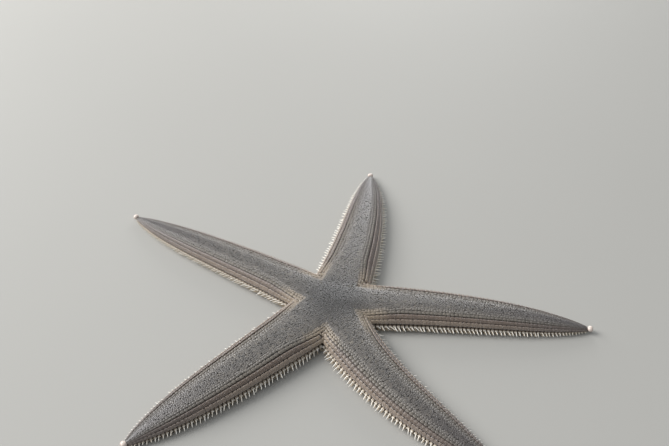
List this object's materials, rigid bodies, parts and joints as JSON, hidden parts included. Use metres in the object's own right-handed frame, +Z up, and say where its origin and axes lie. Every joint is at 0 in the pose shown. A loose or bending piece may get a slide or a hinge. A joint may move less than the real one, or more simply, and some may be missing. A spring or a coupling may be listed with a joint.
{
  "type": "starfish",
  "caption": "Grey five-armed sea star lying flat, its long strap-like arms fringed with a comb of pale spines and grooved below.",
  "frame": {"origin": "on the floor under the middle of the animal's bounding box", "axes": "+Z up from the floor; +X along the arm that points right, +Y away from the viewer, between the two back arms' tips"},
  "size_m": [0.1964, 0.1724, 0.0091],
  "materials": {
    "skin": "satin",
    "tip_plate": "satin",
    "spines": "satin",
    "underside": "satin",
    "tube_feet": "satin"
  },
  "bodies": {
    "root": {"disc": "skin", "arm_right": "skin", "arm_back": "skin", "arm_back_left": "skin", "arm_front_left": "skin", "arm_front": "skin", "tip_plate_right": "tip_plate", "tip_plate_back": "tip_plate", "tip_plate_back_left": "tip_plate", "tip_plate_front_left": "tip_plate", "tip_plate_front": "tip_plate"}
  },
  "joints": []
}
